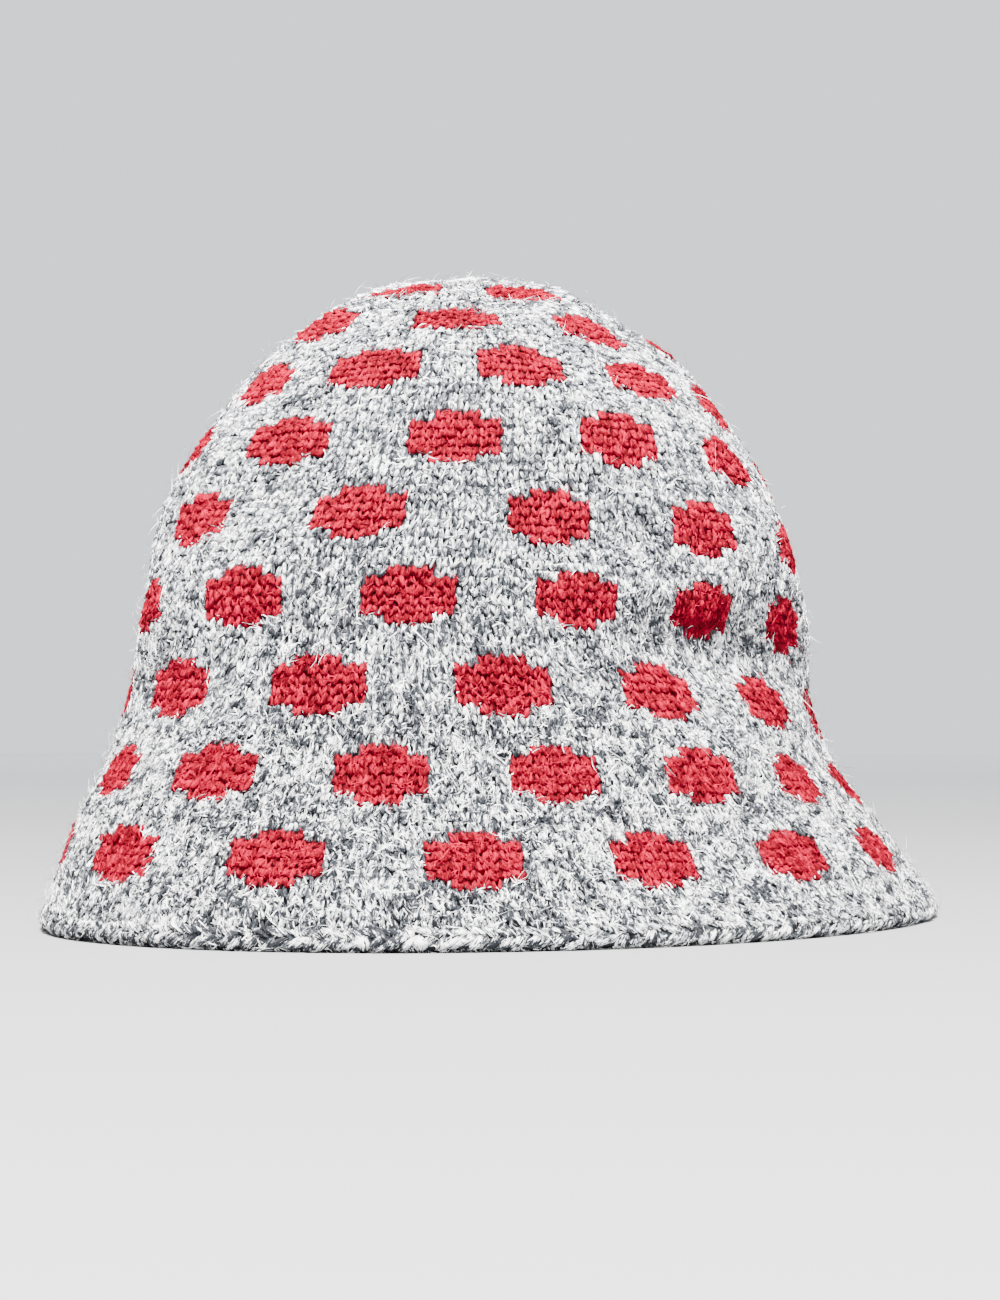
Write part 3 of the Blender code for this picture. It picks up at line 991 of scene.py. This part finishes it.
def roll_edge():
    """Cast-off stitches wrapped round the edge, over a plain core."""
    points, corners = bead(sides=6, rings=5)
    even = even_along(points)
    count = EDGE_STRANDS
    k = np.arange(count)[:, None]
    pair = np.where(k % 2 == 0, EDGE_PAIRED, -EDGE_PAIRED)
    for name, start, end, lean in EDGE_ROWS:
        wider, ahead, turned, higher, tone_off, leaning = draw(count, EDGE_VARIES)
        lumps = draw(count // 2, EDGE_LUMPS_VARY)
        lump_higher, lump_thicker = (np.repeat(off, 2, axis=0) for off in lumps)
        slant = 2 * (lean + leaning) * (even - 0.5) * EDGE_LEANS
        wide = points[:, 0] * EDGE_HALF_WIDE * (1 + wider)
        turn = (k + pair + ahead + slant + wide) / count
        degrees = start + (end - start) * even + turned + points[:, 0] * EDGE_CURL * lean
        thick = points[:, 1] * (EDGE_HALF_THICK + lump_thicker)
        size = EDGE_SKIN + (lump_higher + higher) + thick
        places = above_floor(edge.at(turn, degrees, size))
        tone = own_tones(points, EDGE_TONE, tone_off)
        # Painted light and shade: lighter on the strand's outer side
        rise = paint_light_and_shade(points[:, 1], count, *EDGE_LIGHT)
        along = lay_pattern(pattern_starts(count), even, points[:, 0], EDGE_PATTERN)
        piece = join_copies(f"cast_off_edge_{name}", places, corners, edge_wool, tone, rise, along)
        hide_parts("rolled_edge")


def seam_span():
    """The ways up at which the stitches of the seam start and end."""
    low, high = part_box("back_seam")
    above_foot, below_top = SEAM_ENDS
    heights = wall.sample(wall.grid, 0.5, wall.rows)[:, 2]
    start = float(np.interp(low[2] + above_foot, heights, wall.rows))
    end = float(np.interp(high[2] - below_top, heights, wall.rows))
    return start, end


def sew_seam():
    """Overcast stitches on the ridge inside the back."""
    start, end = seam_span()
    count = int((end - start) / SEAM_STITCH)
    points, corners = bead(sides=6, rings=5)
    even = even_along(points)
    k = np.arange(count)[:, None]
    aside, _, tone_off, _ = draw(count, SEAM_VARIES)
    way = start + (end - start) * (k + 0.5) / count + SEAM_LONG * (even - 0.5)
    way = way + points[:, 0] * SEAM_HALF_WIDE
    across = (SEAM_ASLANT * (even - 0.5) + aside) / wall.around(way)
    depth = wall.thickness + SEAM_OFF + SEAM_ARCH * np.sin(math.pi * even)
    places = wall.at(0.5 + across, way, -(depth + points[:, 1] * SEAM_HALF_THICK))
    tone = own_tones(points, SEAM_TONE, tone_off)
    # Painted light and shade: lighter on the side of each stitch that faces into the hat
    rise = paint_light_and_shade(points[:, 1], count, *SEAM_LIGHT)
    along = lay_pattern(pattern_starts(count), even, points[:, 0], SEAM_PATTERN)
    piece = join_copies("back_seam_stitches", places, corners, grey_wool, tone, rise, along)
    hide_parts("back_seam")


def lay_red_strand():
    """The strand of red that is caught beside the seam, up the lower part of it."""
    # Its rise darkens it a little, as painted shade
    tone, rise = np.full((1, 1), 0.5), np.full((1, 1), 0.8)
    start, end = seam_span()
    points, corners = bead(sides=6, rings=60)
    even = even_along(points)
    fat = rod_fatness(points, taper=0.1) * RED_STRAND_RADIUS
    way = start + (end - start) * RED_STRAND_REACHES * even
    beside, sway, sways = RED_STRAND_BESIDE
    off, lift, lifts = RED_STRAND_OFF
    beside = beside + sway * np.sin(even * sways) + points[:, 0] * fat
    depth = wall.thickness + off + lift * np.sin(even * lifts) + points[:, 1] * fat
    places = wall.at(0.5 + beside / wall.around(way), way, -depth)[None]
    along = lay_pattern(0.0, even, points[:, 0], RED_STRAND_PATTERN)
    piece = join_copies("red_strand_beside_seam", places, corners, red_wool, tone, rise, along)


# Loose fibres

def scatter(chosen, count):
    """Places on the chosen stitches, at random, closer together on the brim than on the crown."""
    weight = np.interp(chosen[:, 0], *FIBRES_BY_COURSE)
    pick = chosen[rng.choice(len(chosen), int(count), p=weight / weight.sum())]
    turn = pick[:, 1] + rng.uniform(-0.5, 0.5, len(pick)) * pick[:, 2]
    return turn, way_of(pick[:, 0] + rng.uniform(0, 1, len(pick)))


def curl(count, kind):
    """How far across, up and out each fibre has gone at each of its steps."""
    _, parts, typical, _, (lowest, highest) = kind
    heading = rng.uniform(0, 2 * math.pi, count)
    bend = rng.normal(0, FIBRE_BENDS, count)
    length = typical * rng.lognormal(0, FIBRE_LENGTHS_VARY, count)
    lift = rng.uniform(lowest, highest, count)
    steps = np.linspace(0, 1, parts + 1)
    across, up, out = (np.zeros((count, parts + 1)) for _ in range(3))
    for k in range(1, parts + 1):
        angle = heading + bend * steps[k]
        across[:, k] = across[:, k - 1] + np.cos(angle) * length / parts
        up[:, k] = up[:, k - 1] + np.sin(angle) * length / parts
        out[:, k] = out[:, k - 1] + length / parts * lift * (1 - FIBRE_SETTLES * steps[k])
    return across, up, out


def blade_corners(parts):
    """The triangles of a pointed blade, its points up the left side and then up the right."""
    lower = [(k, k + parts + 1, k + parts + 2) for k in range(parts - 1)]
    upper = [(k, k + parts + 2, k + 1) for k in range(parts - 1)]
    return np.array(lower + upper + [(parts - 1, 2 * parts, parts)])


def raise_fibres(name, kind, places, wool, on=wall.at):
    """Fine loose fibres that lie on the wool or curl off it."""
    _, parts, _, wide, _ = kind
    turn, way = (measure[:, None] for measure in places)
    count = len(turn)
    across, up, out = curl(count, kind)
    around = wall.around(way)
    # A fibre that would lie across the other colour is cut short
    strayed = (is_red(turn + across / around, way + up) != is_red(turn, way)).any(axis=1)
    keep = np.where(strayed, FIBRE_CUT, 1.0)[:, None]
    middle = on(turn + across * keep / around, way + up * keep, out * keep + FIBRE_CLEAR)
    side = np.cross(np.gradient(middle, axis=1), rng.normal(0, 1, (count, 1, 3)))
    side /= np.linalg.norm(side, axis=2)[:, :, None]
    taper = (1 - np.linspace(0, 1, parts + 1) ** 2)[None, :, None] * wide / 2
    left, right = middle - side * taper, middle + side * taper
    places = above_floor(np.concatenate((left, right[:, :parts]), axis=1))
    tone = np.clip(rng.normal(FIBRE_TONE, FIBRE_TONE_VARIES, (count, 1)), 0, 1)
    along = np.zeros((count, 2 * parts + 1, 2)) + pattern_starts(count)[:, None]
    piece = join_copies(name, places, blade_corners(parts), wool, tone, np.ones((1, 1)), along)


def raise_all_fibres():
    """Laid fibres and then stray ones, on the grey, the red and the edge."""
    for name, kind in (("laid", LAID_FIBRES), ("stray", STRAY_FIBRES)):
        count = kind[0]
        on_grey = scatter(stitches[~in_red], count)
        raise_fibres(f"grey_fibres_{name}", kind, on_grey, loose_wool)
        on_red = scatter(stitches[in_red], count * RED_FIBRES)
        raise_fibres(f"red_fibres_{name}", kind, on_red, loose_red_wool)
        few = count // EDGE_FIBRES
        on_edge = rng.uniform(0, 1, few), rng.uniform(EDGE_FIBRES_FROM, EDGE_FIBRES_TO, few)
        raise_fibres(f"edge_fibres_{name}", kind, on_edge, edge_wool, edge.over)


# The stage

def paint_floor():
    """Pale paint, paler away from the hat, so that the floor meets the room without a line: painted
    light that makes up for the lamps' light falling off with distance.
    """
    paint = Finish("pale_floor")
    place = paint.node("ShaderNodeTexCoord", {}, out="Object")
    far = paint.node("ShaderNodeVectorMath", {"operation": "LENGTH"}, place, out="Value")
    colour = paint.node("ShaderNodeValToRGB", {"stops": FLOOR_STOPS}, far * (1 / FLOOR_REACH))
    paint.dress({"Base Color": colour, "Roughness": 0.7})
    return paint.material


def lay_floor():
    mesh = bmesh.new()
    bmesh.ops.create_grid(mesh, x_segments=1, y_segments=1, size=FLOOR_REACH)
    make_piece("floor", mesh, paint_floor())


def set_lights():
    world = bpy.data.worlds.new("soft_room")
    world.use_nodes = True
    backdrop = world.node_tree.nodes["Background"]
    backdrop.inputs["Color"].default_value = ROOM_COLOUR
    backdrop.inputs["Strength"].default_value = ROOM_STRENGTH
    bpy.context.scene.world = world
    for name, place, size, power, colour in LAMPS:
        lamp = bpy.data.lights.new(name, "AREA")
        lamp.shape = "DISK"
        lamp.size = size
        lamp.energy = power
        lamp.color = colour
        light = link(name, lamp)
        light.location = place
        light.rotation_euler = (LAMPS_AIM - Vector(place)).to_track_quat("-Z", "Y").to_euler()


def set_camera():
    """The photograph's own bearing on the hat, brought down to just above the floor."""
    lens = bpy.data.cameras.new("camera")
    lens.sensor_fit = "VERTICAL"
    lens.sensor_height = SENSOR_HEIGHT
    lens.lens = FOCAL_LENGTH
    lens.clip_start = NEAREST_SEEN
    camera = link("camera", lens)
    right = math.sin(CAMERA_BEARING) * CAMERA_DISTANCE
    back = -math.cos(CAMERA_BEARING) * CAMERA_DISTANCE
    camera.location = (right, back, CAMERA_HEIGHT)
    aim = CAMERA_AIM - Vector((right, back, CAMERA_HEIGHT))
    camera.rotation_euler = aim.to_track_quat("-Z", "Y").to_euler()
    bpy.context.scene.camera = camera


build_ground()
knit_outside()
fill_spots()
line_inside()
core_edge()
roll_edge()
sew_seam()
lay_red_strand()
raise_all_fibres()
lay_floor()
set_lights()
set_camera()
